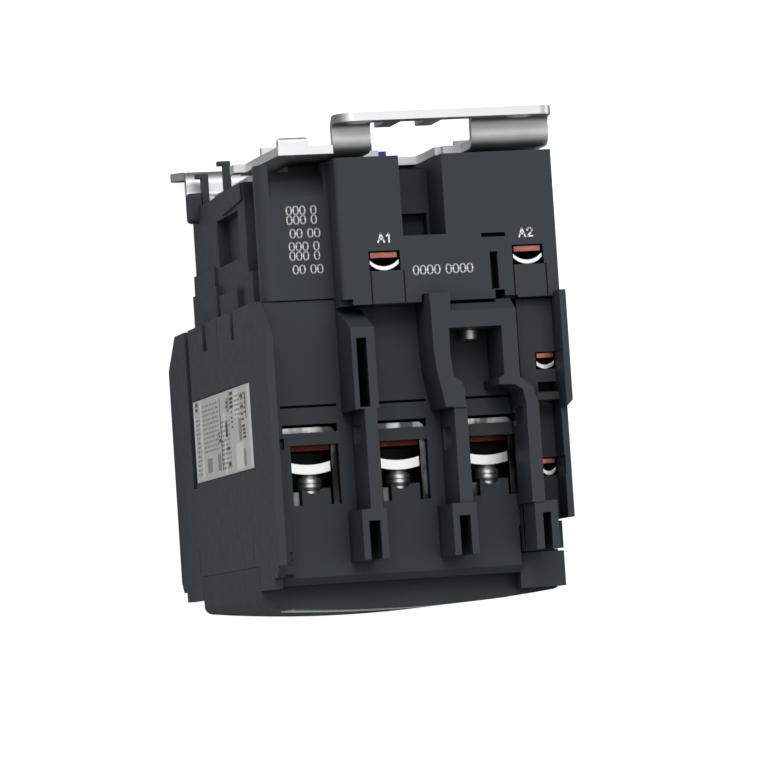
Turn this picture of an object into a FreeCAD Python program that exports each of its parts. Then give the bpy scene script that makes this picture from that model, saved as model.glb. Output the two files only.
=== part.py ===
import FreeCAD, Part

import os

# DIN rail contactor, three power poles and two auxiliary contacts.
# Millimetres. X right seen from the front, Y back towards the panel, Z up.
# Y = 0 is the mounting plane, X = Z = 0 the middle of the width and height.
# Built for the top end (+Z); the bottom end repeats it mirrored in Z.

V = FreeCAD.Vector

HALF_W = 37.5                # half of the 75 mm width
HALF_H = 63.5                # half of the 127 mm height
FRONT_Y = -119.0             # crown of the front cover

POLES = (-24.6, -2.4, 19.8)  # pole centre lines, 22.2 mm apart
RIB_X = -13.5                # rib between the left and the middle pole

# mounting plate
SHEET = 2.1
PLATE_Y = -6.95              # back face of the main level
PLATE_FRONT = PLATE_Y - SHEET
PLATE_LEFT = -30.9
FOOT_WALL_Z = 57.5           # outer face of the walls that carry the feet
FOOT_X = (-16.4, -31.2)      # left ends of the top and the bottom foot
BEND = 1.3                   # inner radius of the bends
WINDOW_X = (-6.9, 18.2)      # opening through the walls and the plate's ends
SLOT_X = (-1.4, 12.3)        # deeper slot between the windows, for the rail latch
SLOT_Z = 23.5
RAIL_HALF = 17.5             # half of the 35 mm rail
RAIL_GRIP = 1.35             # room for the rail's flange between the plate and the hooks
FIX_X = (-10.0, 30.0)
FIX_Z = 60.4
FIX_R = 2.15
FIX_SLOT = 7.0

# rail latch, in the top end's slot
LATCH_X = (-10.0, 1.2)
LATCH_ARM_X = (-0.8, 1.2)
LATCH_ARM_Z = 38.0
LATCH_TRAVEL = 3.0
LATCH_NOSE_Z = (17.9, 23.0)
LATCH_SPRING_X = -5.0
LATCH_SPRING_Y = -5.0
LATCH_SPRING_Z = (23.0, 34.0)

# base housing (coil and fixed core)
BASE_BACK = -10.2
BASE_FRONT = -43.4
BASE_LEFT = -29.5
BASE_END = 58.0              # near face of the raised end block
BLOCK_FRONT = -46.0          # front edge of the raised end block
LEFT_FACE_Z = 48.6           # end face left of the raised block

# pole housing
POLE_BACK = -43.6
BAY_Z = 48.0                 # floor of the bays between the ribs
WALL = 2.0
SHOULDER_Y = -112.3
NOSE_TOP = 40.0
NOSE_BOTTOM = -34.0
NOSE_BACK = -107.0
BLOCK_Z = 45.6               # near face of the cover's and housing's right-hand blocks
SIDE_Y = -116.6              # front cover at its left and right edges

# power terminals
BAR_HALF = 4.9
BAR_BACK, BAR_FRONT = -76.9, -79.9
WELL_HALF = 6.8
WELL_BACK, WELL_FRONT = -73.6, -89.2
WELL_DEEP = 36.0
CAGE_LEG = 1.5
SCREW_Z = 43.3
SCREW_R = 2.5
SCREW_HEAD_R = 2.75
DRIVER_R = 2.85
DOME_R = 2.9                 # domed end of the screw behind the saddle
SADDLE_BACK, SADDLE_FRONT = -82.6, -85.0

# magnet and contacts
CORE_FACE = -38.0
STROKE = 5.5
OVERTRAVEL = 1.75
ARM_FACE = CORE_FACE - STROKE
CORE_HALF = 23.0
STACK_HALF = 12.0
TIP_GAP = STROKE - OVERTRAVEL + 0.05
TIP = 1.2
BRIDGE = 2.0
ARM_PIN_Y = -54.2
ARM_PIN_R = 2.0
LINK_Y = (-58.4, -62.0)      # carrier's cross bar and the link to the auxiliary slider
NECK_HALF = 5.4              # carrier's posts where they pass the housing's rear wall
AUX_CHAMBER_X = (30.0, 34.8)
RUN_GAP = 0.05               # running clearance of screws and pins
COVER_SCREW_X = (-31.4, 32.6)
COVER_SCREW_Z = (-28.0, 34.0)

# control terminals A1, A2, 13 and 21 at the top end: the wire pocket spans x -+ half, back..front
# and deep..face; its screw has the axis sx, sz and the radius r, its head lies behind head_front.
# The copper bar lies CONTROL_BAR from the pocket's back, and the clamp, bowed by bow, CLAMP_GAP from it.
CONTROL_BAR = (0.3, 1.4)
CLAMP_GAP = 2.1
CLAMP_THICK = 1.0
CONTROL = (
    dict(x=-5.6, back=-33.2, front=-38.0, half=3.9, face=58.0, deep=46.5, sx=-5.6, sz=51.5,
         r=1.7, head_r=2.6, head_back=-42.0, head_front=-44.8, bow=1.6),
    dict(x=30.15, back=-33.2, front=-38.0, half=3.9, face=58.0, deep=46.5, sx=28.8, sz=51.5,
         r=1.7, head_r=2.3, head_back=-42.0, head_front=-44.8, bow=1.6),
    dict(x=33.6, back=-59.4, front=-63.6, half=2.5, face=55.0, deep=49.2, sx=33.6, sz=52.4,
         r=1.4, head_r=2.0, head_back=-64.9, head_front=-66.5, bow=1.0),
    dict(x=34.1, back=-84.9, front=-89.4, half=2.0, face=50.0, deep=44.6, sx=34.1, sz=47.6,
         r=1.2, head_r=1.6, head_back=-93.6, head_front=-95.6, bow=1.2),
)


def block(x0, x1, y0, y1, z0, z1):
    low = V(min(x0, x1), min(y0, y1), min(z0, z1))
    return Part.makeBox(abs(x1 - x0), abs(y1 - y0), abs(z1 - z0), low)


def rod(axis, centre, radius, a0, a1):
    """Cylinder along X, Y or Z between a0 and a1; centre holds the two other coordinates."""
    low = min(a0, a1)
    u, v = centre
    start = {"x": V(low, u, v), "y": V(u, low, v), "z": V(u, v, low)}[axis]
    way = {"x": V(1, 0, 0), "y": V(0, 1, 0), "z": V(0, 0, 1)}[axis]
    return Part.makeCylinder(radius, abs(a1 - a0), start, way)


def prism(plane, points, a0, a1):
    """Closed outline in the plane xy, xz or yz, extruded between a0 and a1 along the third axis."""
    spot = {"xy": lambda p: V(p[0], p[1], a0),
            "xz": lambda p: V(p[0], a0, p[1]),
            "yz": lambda p: V(a0, p[0], p[1])}[plane]
    way = {"xy": V(0, 0, a1 - a0), "xz": V(0, a1 - a0, 0), "yz": V(a1 - a0, 0, 0)}[plane]
    corners = [spot(p) for p in points]
    return Part.Face(Part.makePolygon(corners + corners[:1])).extrude(way)


def arc_strip(x0, x1, edge_y, mid_y, thick, z0, z1):
    """Curved strip across X: its back edge runs from edge_y through mid_y in the middle."""
    mid_x = (x0 + x1) / 2
    back = Part.Arc(V(x0, edge_y, z0), V(mid_x, mid_y, z0), V(x1, edge_y, z0)).toShape()
    front = Part.Arc(V(x1, edge_y - thick, z0), V(mid_x, mid_y - thick, z0),
                     V(x0, edge_y - thick, z0)).toShape()
    right = Part.makeLine(V(x1, edge_y, z0), V(x1, edge_y - thick, z0))
    left = Part.makeLine(V(x0, edge_y - thick, z0), V(x0, edge_y, z0))
    return Part.Face(Part.Wire([back, right, front, left])).extrude(V(0, 0, z1 - z0))


def mirror(shape):
    return shape.mirror(V(0, 0, 0), V(0, 0, 1))


def ends(shapes):
    """The top-end shapes and their copies for the bottom end."""
    return list(shapes) + [mirror(s) for s in shapes]


def join(shapes):
    solid = shapes[0].multiFuse(shapes[1:]) if len(shapes) > 1 else shapes[0]
    return solid.removeSplitter()


def rounded(shape, radius, wanted):
    """Fillet the straight edges whose direction and middle the test wanted(way, middle) accepts."""
    picked = []
    for edge in shape.Edges:
        if len(edge.Vertexes) != 2 or not isinstance(edge.Curve, (Part.Line, Part.LineSegment)):
            continue
        way = (edge.Vertexes[1].Point - edge.Vertexes[0].Point).normalize()
        if wanted(way, edge.CenterOfMass):
            picked.append(edge)
    return shape.makeFillet(radius, picked)


def spring(radius, wire, y_back, y_front, turns, x, z=0.0):
    """Compression spring along Y."""
    length = y_back - y_front
    helix = Part.makeHelix(length / turns, length, radius)
    start = V(radius, 0, 0)
    ring = Part.Wire([Part.makeCircle(wire, start, V(0, 1, 0))])
    coil = Part.Wire(helix.Edges).makePipeShell([ring], True, True)
    coil.rotate(V(0, 0, 0), V(1, 0, 0), 90)
    coil.translate(V(x, y_back, z))
    return coil


def save(node, shapes):
    shape = shapes if isinstance(shapes, Part.Shape) else Part.makeCompound(shapes)
    for solid in shape.Solids:
        assert solid.isValid() and solid.isClosed(), node
    assert shape.Solids, node
    box = shape.BoundBox
    print("%-20s %2d solids %9.1f mm3  x %.1f..%.1f  y %.1f..%.1f  z %.1f..%.1f" % (
        node, len(shape.Solids), shape.Volume, box.XMin, box.XMax, box.YMin, box.YMax,
        box.ZMin, box.ZMax))
    shape.exportStep(os.path.join("parts", node + ".step"))


def foot(left, sign):
    """One end of the plate: foot on the panel, wall and the bend into the main level."""
    outer = BEND + SHEET
    inside = FOOT_WALL_Z - SHEET
    slab = block(left, HALF_W, 0, -SHEET, inside * sign, HALF_H * sign)
    wall = block(left, HALF_W, 0, PLATE_FRONT, inside * sign, FOOT_WALL_Z * sign)
    stub = block(left, HALF_W, PLATE_Y, PLATE_FRONT, 53.5 * sign, FOOT_WALL_Z * sign)
    end = join([slab, wall, stub])
    for radius, y, z in ((outer, 0, inside), (BEND, -SHEET, FOOT_WALL_Z),
                         (outer, PLATE_FRONT, FOOT_WALL_Z), (BEND, PLATE_Y, inside)):
        end = rounded(end, radius, lambda way, mid: abs(way.x) > 0.9 and abs(mid.y - y) < 0.01
                      and abs(mid.z * sign - z) < 0.01)
    for radius, x in ((4.4, left), (3.4, HALF_W)):
        end = rounded(end, radius, lambda way, mid: abs(way.y) > 0.9 and abs(mid.x - x) < 0.01
                      and mid.z * sign > HALF_H - 0.1)
    return end


def fixing_slot(x, z):
    half = FIX_SLOT / 2 - FIX_R
    slot = block(x - half, x + half, 1, -SHEET - 1, z - FIX_R, z + FIX_R)
    return join([slot] + [rod("y", (x + d, z), FIX_R, 1, -SHEET - 1) for d in (half, -half)])


def mounting_plate():
    """Pressed sheet: main level behind the base, raised feet at both ends, rail hooks."""
    back, front = PLATE_Y, PLATE_FRONT
    end_z = 53.6
    outline = [(HALF_W, -end_z), (HALF_W, end_z), (FOOT_X[0], end_z), (FOOT_X[0], FOOT_WALL_Z),
               (-30.0, FOOT_WALL_Z), (PLATE_LEFT, 33.0), (PLATE_LEFT, 22.0), (-33.9, 22.0),
               (-33.9, 17.0), (PLATE_LEFT, 17.0), (PLATE_LEFT, 14.5), (-24.2, 12.5), (-24.2, -end_z)]
    pieces = [prism("xz", outline, back, front), foot(FOOT_X[0], 1), foot(FOOT_X[1], -1)]
    flare = [(FOOT_X[1] + 1, -57.6), (FOOT_X[1], -57.6), (-34.0, -60.6), (-34.0, -62.2),
             (-32.7, -HALF_H), (-26.0, -HALF_H)]
    pieces.append(prism("xz", flare, 0, -SHEET))
    plate = join(pieces)
    x0, x1 = WINDOW_X
    slot_x0, slot_x1 = SLOT_X
    foot_edge = HALF_H - 4.8
    top_edge = [(x0, foot_edge), (x0, 41.0), (slot_x0, 41.0), (slot_x0, SLOT_Z), (slot_x1, SLOT_Z),
                (slot_x1, 43.0), (slot_x1 + 1.6, 43.0), (slot_x1 + 1.6, 45.0), (x1, 45.0),
                (x1, foot_edge)]
    plate = plate.cut(prism("xz", top_edge, 1, front - 1))
    plate = plate.cut(block(x0, x1, 1, front - 1, -47.0, -foot_edge))
    for x in FIX_X:
        for sign in (1, -1):
            plate = plate.cut(fixing_slot(x, FIX_Z * sign))
    tongues = [block(x, x + 4.0, 0, -SHEET, 47.5 * sign, 59.5 * sign)
               for x in (-3.6, 6.6) for sign in (1, -1)]
    tab = block(-29.9, -22.4, -4.75, front, FOOT_WALL_Z - SHEET, FOOT_WALL_Z)
    tab = rounded(tab, 0.9, lambda way, mid: mid.y > -4.8 and mid.z > FOOT_WALL_Z - 0.1 or
                  abs(way.z) > 0.9 and mid.y > -4.8)
    lugs = [tab, block(-30.6, -26.4, back - 1, back + 1.85, 39.0, 41.0),
            block(x1 - 1.2, x1 + 4, back - 1, back + 1.15, 43.0, 45.0)]
    grip = back + RAIL_GRIP
    for x in (-20.0, 18.0):
        lugs.append(block(x, x + 12, back - 1, grip + 1.8, -RAIL_HALF - 0.6, -RAIL_HALF - 2.6))
        lugs.append(block(x, x + 12, grip, grip + 1.8, -RAIL_HALF + 2.0, -RAIL_HALF - 2.6))
    seat = LATCH_SPRING_Z[1]
    lugs.append(block(LATCH_SPRING_X - 1.4, LATCH_SPRING_X + 1.4, back - 1, -3.4, seat, seat + 1))
    return join([plate] + tongues + lugs)


def rail_latch():
    """Sprung plastic slider: a nose behind the rail's upper edge, an arm in the plate's slot."""
    x0, x1 = LATCH_X
    z0, z1 = LATCH_NOSE_Z
    back_face = -3.2
    front_face = PLATE_Y + 0.1
    grip = PLATE_Y + RAIL_GRIP
    step = z1 + 3.0
    body = block(x0, x1, front_face, back_face, z0, z1)
    nose = prism("yz", [(back_face, z0 + 0.1), (grip, z0 + 0.1), (grip, z0 - 2.2),
                        (grip + 0.8, z0 - 2.2), (back_face, z0 - 1.0)], x0, x1)
    neck = block(*LATCH_ARM_X, front_face, front_face + 1.5, z1 - 1.0, step)
    arm = block(*LATCH_ARM_X, PLATE_FRONT + RUN_GAP, PLATE_Y, SLOT_Z + 0.3, LATCH_ARM_Z)
    root = block(*LATCH_ARM_X, PLATE_Y - 0.1, front_face + 0.1, SLOT_Z + 0.3, step)
    return join([body, nose, neck, arm, root])


def latch_spring():
    """Coil between the latch and the plate's lug, along Z."""
    radius, wire, turns = 1.2, 0.3, 6
    z0, z1 = LATCH_SPRING_Z
    low, length = z0 + wire + 0.1, z1 - z0 - 2 * wire - 0.2
    helix = Part.makeHelix(length / turns, length, radius)
    ring = Part.Wire([Part.makeCircle(wire, V(radius, 0, 0), V(0, 1, 0))])
    coil = Part.Wire(helix.Edges).makePipeShell([ring], True, True)
    coil.translate(V(LATCH_SPRING_X, LATCH_SPRING_Y, low))
    return coil


def control_cuts(c):
    """Pocket for the wire, hole for the screw and a wider bore for its head and the driver."""
    face = c["face"]
    pocket = block(c["x"] - c["half"], c["x"] + c["half"], c["back"], c["front"], c["deep"], face + 8)
    hole = rod("y", (c["sx"], c["sz"]), c["r"] + 0.1, c["front"] + 1, c["head_back"] - 1)
    bore = rod("y", (c["sx"], c["sz"]), c["head_r"] + 0.25, c["head_back"] + 0.8, -120)
    return [pocket, hole, bore]


def base_housing():
    """Rear housing around the coil and the fixed core, with the coil terminals at both ends."""
    z = LEFT_FACE_Z
    corner = -34.0
    side_gap = 10.5
    middle = [(HALF_W, 0), (HALF_W, z), (corner, z), (corner, 44.4), (-25.0, 44.4), (-25.0, side_gap),
              (BASE_LEFT, side_gap), (BASE_LEFT, 0)]
    body = prism("xz", middle, BASE_BACK, BASE_FRONT)
    body = rounded(body, 3.0, lambda way, mid: abs(way.y) > 0.9 and mid.x < corner + 0.1 and mid.z > 48)
    end = block(-16.5, HALF_W, BASE_BACK, BLOCK_FRONT, z - 1, BASE_END)
    step = block(-16.5, HALF_W + 1, BASE_FRONT, BLOCK_FRONT - 1, 0, BAY_Z + 0.2)
    top = join([body, end]).cut(step)
    top = rounded(top, 1.2, lambda way, mid: abs(way.y) > 0.9 and abs(mid.x + 16.5) < 0.1
                  and abs(mid.z - BASE_END) < 0.1)
    lower = join([block(BASE_LEFT, HALF_W, BASE_BACK, BASE_FRONT, 0, BASE_END),
                  block(-16.5, HALF_W, BASE_FRONT + 1, BLOCK_FRONT, BAY_Z + 0.2, BASE_END)])
    cuts = [block(-0.6, 10.1, BASE_BACK + 1, -29.8, 42.0, 60),
            block(0.4, 9.4, -23.0, -29.8, 38.0, 43),
            block(-0.6, 10.1, BASE_BACK + 1, -12.2, 24.0, 43),
            block(18.8, 24.8, -30.0, -31.0, 54.0, 60),
            block(20.6, 22.5, -34.6, -43.6, 52.0, 60),
            block(3.0, 8.9, -44.1, -47, 47, 60),
            block(21.4, 23.8, -43.9, -47, 50.0, 60),
            block(23.7, 27.0, -45.4, -47, 55.5, 60),
            block(-17, -14.0, -44.6, -47, 54.5, 60)]
    for x in (-9.4, -1.2, 26.2, 34.3):
        cuts.append(block(x, x + 0.35, -38.0, -47, 57.4, 60))
    behind = BASE_BACK + 0.3
    slope = prism("yz", [(behind, 43), (behind, 49), (-19.0, 49), (-14.0, 46.2)], -31.0, -17.5)
    wires = [control_cuts(c) + [block(c["x"] - 3.5, c["x"] + 3.5, -33.4, -35.1, 29.5, 47)]
             for c in CONTROL[:2]]
    top = top.cut(join(cuts + [slope] + wires[0] + wires[1]))
    bottom = mirror(lower.cut(join(cuts + wires[1])))
    left = [block(BASE_LEFT, -30.2, -27.8, BASE_FRONT, -57.9, -30.0),
            block(BASE_LEFT, -30.8, -33.0, BASE_FRONT, -57.9, -26.0),
            block(BASE_LEFT, -30.8, -36.0, BASE_FRONT, -22.0, 1.0),
            block(BASE_LEFT + 4, BASE_LEFT, -33.0, BASE_FRONT, side_gap - 1, 15.0),
            prism("yz", [(BASE_BACK, -24), (BASE_BACK, 9), (-14.5, 9), (-16.0, -16), (-12.5, -22)],
                  -30.1, BASE_LEFT + 1)]
    knob = block(-32.4, BASE_LEFT + 1, -6.4, -14.4, -52.2, -49.2)
    knob = rounded(knob, 1.2, lambda way, mid: mid.x < -32.3 or abs(way.x) > 0.9)
    left.append(knob)
    for z0 in (-51.5, -21.5):
        left.append(block(-28.2, -26.4, BASE_BACK - 1, -1.6, z0, z0 + 2.4))
        left.append(block(-29.6, -26.4, -1.6, -2.7, z0, z0 + 2.4))
    boss = block(-23.0, 34.0, PLATE_FRONT, BASE_BACK - 1, -22.0, 22.0)
    body = join([top, bottom, boss] + left)
    cavity = block(-23.6, 29.0, BASE_BACK - 2.2, BLOCK_FRONT - 1, -36.5, 36.5)
    pocket = block(-31.0, -26.6, -16.4, -28.4, -26.0, 1.5)
    return body.cut(join([cavity, pocket]))


def left_wall():
    """Left wall of the pole housing with its chamfered corners, seams and label recess."""
    side = [(-43.6, -52.3), (-43.6, 52.3), (-52.0, HALF_H), (-107.6, HALF_H), (-110.4, 60.9),
            (-110.4, 56.7), (-113.0, 56.7), (-113.0, NOSE_TOP + 0.3), (NOSE_BACK, NOSE_TOP + 0.3),
            (NOSE_BACK, NOSE_BOTTOM - 0.3), (-113.0, NOSE_BOTTOM - 0.3), (-113.0, -56.7),
            (-110.4, -56.7), (-110.4, -60.9), (-107.6, -HALF_H), (-52.0, -HALF_H)]
    wall = prism("yz", side, -HALF_W, -HALF_W + WALL)
    cuts = [block(-38, -36.9, -62.0, -83.2, -33.6, 41.4),
            block(-38, -36.3, -43, -84.3, -38.4, -33.6),
            block(-38, -35, -43, -50.6, -14.3, -9.3),
            block(-38, -35, -43, -50.6, 22.8, 26.4),
            block(-38, -37.1, -43, -54.0, 5.0, 5.4),
            block(-38, -36.8, -99.3, NOSE_BACK - 1, -36.7, -36.3),
            block(-38, -36.8, -99.3, NOSE_BACK - 1, 34.0, 34.4)]
    return wall.cut(join(cuts))


def pole_well(x):
    """Everything cut for one power terminal at the top end."""
    mouth_left, mouth_right = x - 5.1, x + WELL_HALF
    bridge_back, bridge_front = -75.6, -78.6
    cuts = [block(x - WELL_HALF - 0.1, x + WELL_HALF + 0.1, WELL_BACK, -96.7, WELL_DEEP, 46.5),
            block(x - WELL_HALF, x + WELL_HALF, WELL_BACK, bridge_back, 46, 50),
            block(mouth_left, mouth_right, bridge_front, WELL_FRONT, 46, 50),
            rod("z", (x - 0.2, WELL_FRONT + 1.4), 2.6, 46, 50),
            block(mouth_left, x - 2.9, WELL_FRONT + 1, -93.2, 46, 50),
            block(x + 4.2, mouth_right, WELL_FRONT + 1, -93.2, 46, 50),
            rod("y", (x, SCREW_Z), DRIVER_R, -96.0, -118),
            block(x - BAR_HALF - 0.1, x + BAR_HALF + 0.1, BAR_BACK + 0.1, BAR_FRONT - 0.1, 30, 46.2),
            block(x - 7.0, x + 7.0, -68.9, -69.5, 44.5, 50),
            block(x - 8.4, x - 6.6, -76.8, -79.4, 46.6, 50)]
    return cuts


def pole_housing():
    """Contact chambers, terminal bays and the ribs between them."""
    profile = [(POLE_BACK, 0), (POLE_BACK, BAY_Z), (-110.6, BAY_Z), (SHOULDER_Y, 46.5),
               (SHOULDER_Y, NOSE_TOP + 0.3), (NOSE_BACK, NOSE_TOP + 0.3), (NOSE_BACK, 0)]
    core = prism("yz", profile, -HALF_W + WALL - 0.5, 26.0)
    right = block(25.9, HALF_W, -100.3, NOSE_BACK, 0, BLOCK_Z)
    side = block(25.9, 27.0, POLE_BACK, -101, 0, BAY_Z)
    spine = block(26.9, 29.0, -67.4, -101, 0, BAY_Z)
    add = [core, right, side, spine]
    add.append(prism("yz", [(-46.4, 47), (-46.4, 50.0), (-51.8, HALF_H), (-71.4, HALF_H),
                            (-71.4, 47)], RIB_X - 2.9, RIB_X + 2.9))
    add.append(block(RIB_X - 0.7, RIB_X + 2.3, -71, -96, 47, HALF_H))
    add.append(block(RIB_X - 3.0, RIB_X + 3.1, -95.4, -107.5, 47, HALF_H))
    frame = [(3.6, -44.4), (8.6, -44.4), (8.6, -47.0), (20.9, -47.0), (20.9, -46.2), (24.7, -46.2),
             (24.7, -65.7), (27.7, -68.1), (28.95, -72.0), (28.95, -96.0), (25.8, -96.0),
             (25.8, -71.8), (25.2, -68.6), (23.4, -67.4), (19.5, -67.2), (19.5, -65.6),
             (20.9, -65.0), (20.9, -53.0), (7.9, -53.0), (7.8, -59.5), (8.3, -64.6),
             (10.3, -66.2), (10.8, -68.0), (10.8, -72.3), (5.9, -72.0), (4.2, -63.0), (3.8, -58.0)]
    bevel = prism("yz", [(-46.0, 65.0), (-46.0, 58.5), (-49.9, 65.0)], 8.6, 26.0)
    add.append(prism("xy", frame, 47.0, HALF_H).cut(bevel))
    add.append(block(8.0, 11.2, -71, -96, 47, HALF_H - 0.6))
    add.append(block(5.8, 11.8, -95.2, -107.6, 47, HALF_H))
    add.append(block(26.3, 32.0, -95.8, -107.4, 46, HALF_H - 0.4))
    toe = [(-36.0, -93.6), (-31.8, -94.2), (-30.8, -98.2), (-30.8, -107.6), (-36.0, -107.6)]
    add.append(prism("xy", toe, 47.0, BAY_Z + 1.2).cut(block(-31.6, -30.6, -104.2, -106.4, 47, 50)))
    add.append(block(-35.9, -30.8, -107.5, -109.6, 46.5, BAY_Z + 2.0))
    top = join(add)
    cuts = []
    for x in POLES:
        cuts += pole_well(x)
        cuts.append(block(x - 8.0, x + 8.0, -70.5, NOSE_BACK - 6, -1, 33.6))
        cuts.append(block(x - NECK_HALF - 0.4, x + NECK_HALF + 0.4, -55, -72, -1, 8.6))
    cuts += [block(-15.2, -12.7, -54.3, -70.9, 52.0, 64),
             block(-14.9, -12.1, -98.2, -112, 52.5, 64),
             block(7.4, 10.1, -98.2, -112, 52.5, 64),
             block(28.2, 30.2, -98.6, -112, 52.5, 64),
             block(-14.9, -10.6, -74.8, -79.2, 50.0, 58.0),
             block(7.5, 11.9, -76.4, -81.6, 50.0, 58.0),
             block(25.0, 29.2, -72.6, -76.8, 50.0, 60.0),
             block(29.0, 33.0, -95.0, -100.0, 44.0, 50.1),
             block(26.55, 26.95, -48.0, -67.0, 44.0, 50),
             block(-25.6, 25.6, POLE_BACK + 1, -63.6, -1, 16.5),
             block(20, 30, -50.0, -63.6, -1, 5.4),
             block(15.0, 17.0, -53.1, -55.0, 46.9, 48.5),
             block(-28, 28, -94.8, NOSE_BACK - 6, -1, 7.0),
             block(32.0, HALF_W + 1, -98, -112, 58.0, 64)]
    for c in CONTROL[1:3]:
        cuts.append(rod("y", (c["sx"], c["sz"]), c["head_r"] + 0.25, c["head_back"], -120))
    top = top.cut(join(cuts))
    body = join([top, mirror(top), left_wall()])
    for x in COVER_SCREW_X:
        for z in COVER_SCREW_Z:
            body = body.cut(rod("y", (x, z), 1.3, NOSE_BACK + 6, NOSE_BACK - 1))
    return body


def aux_housing():
    """Column at the right with the auxiliary contacts and their terminals."""
    left, wall = 27.1, 35.9
    add = [block(left, HALF_W, POLE_BACK, -67.2, 0, BAY_Z),
           block(29.1, HALF_W, -67.0, -99.9, 0, 50.0),
           block(left, HALF_W, -46.3, -67.2, 47, 55.0),
           block(29.1, HALF_W, -67.0, -71.2, 47, 55.0),
           block(30.2, wall + 0.6, -69.4, -71.2, 54, 57.2),
           prism("xy", [(wall, -46.3), (HALF_W, -46.3), (HALF_W, -71.8), (wall, -73.4)], 49, HALF_H),
           block(wall, HALF_W, -45.0, -46.5, BASE_END + 0.2, HALF_H),
           block(wall, HALF_W, -73.0, -99.9, 49, BASE_END)]
    top = join(add)
    chamber_x0, chamber_x1 = AUX_CHAMBER_X
    cuts = [block(chamber_x0, chamber_x1, -51.5, -97.0, -1, 40.0),
            block(left - 1, chamber_x0 + 1, -50.0, -97.0, -1, 9.5),
            block(31.3, 35.9, -66.7, -69.1, 49.2, 56)]
    a2 = CONTROL[1]
    cuts.append(rod("y", (a2["sx"], a2["sz"]), a2["head_r"] + 0.25, -40, -120))
    for c in CONTROL[2:]:
        cuts += control_cuts(c)
        half = c["half"] - 0.3
        cuts.append(block(c["x"] - half, c["x"] + half, c["back"], c["back"] - 1.7, 5, c["deep"] + 1))
    top = top.cut(join(cuts))
    return join([top, mirror(top)])


def front_cover():
    """Bowed nose over the contact chambers, hollow, with the indicator window."""
    def bowed(edge, mid, x, z0, z1, back):
        arc = Part.Arc(V(-x, edge, z0), V(0, mid, z0), V(x, edge, z0)).toShape()
        lines = Part.makePolygon([V(x, edge, z0), V(x, back, z0), V(-x, back, z0), V(-x, edge, z0)])
        return Part.Face(Part.Wire([arc] + lines.Edges)).extrude(V(0, 0, z1 - z0))

    nose = bowed(SIDE_Y, FRONT_Y, HALF_W, NOSE_BOTTOM, NOSE_TOP, NOSE_BACK - 0.1)
    nose = rounded(nose, 2.2, lambda way, mid: abs(way.z) > 0.9 and mid.y < SIDE_Y + 1)
    blocks = [block(26.2, HALF_W, NOSE_BACK - 0.6, SIDE_Y + 0.4, NOSE_TOP - 1, BLOCK_Z),
              block(26.2, HALF_W, NOSE_BACK - 0.6, SIDE_Y + 0.4, NOSE_BOTTOM + 1, -BLOCK_Z)]
    body = join([nose] + blocks)
    hollow = bowed(SIDE_Y + 2.6, FRONT_Y + 2.4, 34.8, NOSE_BOTTOM + 2.4, NOSE_TOP - 2.4, NOSE_BACK + 1)
    posts = [rod("y", (x, z), 3.0, NOSE_BACK - 0.1, -115.0) for x in COVER_SCREW_X for z in COVER_SCREW_Z]
    body = body.cut(hollow.cut(join(posts)))
    cuts = [block(-4.3, 4.3, -113, -121, -6.3, 6.3)]
    for x in COVER_SCREW_X:
        for z in COVER_SCREW_Z:
            cuts.append(rod("y", (x, z), 1.7, NOSE_BACK + 1, -114))
            cuts.append(rod("y", (x, z), 2.6, -112.2, -121))
    label = arc_strip(-27.0, 25.0, -117.6, FRONT_Y + 0.5, 3.0, 11.0, 36.6)
    cuts.append(label)
    return body.cut(join(cuts))


def front_nameplate():
    return arc_strip(-26.9, 24.9, -117.62, FRONT_Y + 0.48, 0.42, 11.1, 36.5)


def rating_label():
    return block(-37.35, -36.92, -62.2, -83.0, -33.4, 41.2)


def housing_screws():
    screws = []
    for x in COVER_SCREW_X:
        for z in COVER_SCREW_Z:
            head = rod("y", (x, z), 2.5, -112.3, -113.9)
            head = head.cut(block(x - 3, x + 3, -113.3, -114, z - 0.35, z + 0.35))
            screws.append(join([head, rod("y", (x, z), 1.25, NOSE_BACK + 5.5, -112.4)]))
    return screws


def e_core(back, yoke_front, face):
    yoke = block(-CORE_HALF, CORE_HALF, back, yoke_front, -STACK_HALF, STACK_HALF)
    legs = [block(x0, x1, yoke_front, face, -STACK_HALF, STACK_HALF)
            for x0, x1 in ((-CORE_HALF, -15.5), (-7.5, 7.5), (15.5, CORE_HALF))]
    return join([yoke] + legs)


def shading_ring(x, grow=0.0):
    outer = block(x - 2.4 - grow, x + 2.4 + grow, CORE_FACE, -36.0 + grow, -10.6 - grow, 10.6 + grow)
    inner = block(x - 1.3 + grow, x + 1.3 - grow, CORE_FACE - 1, -35, -9.5 + grow, 9.5 - grow)
    return outer.cut(inner)


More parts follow.
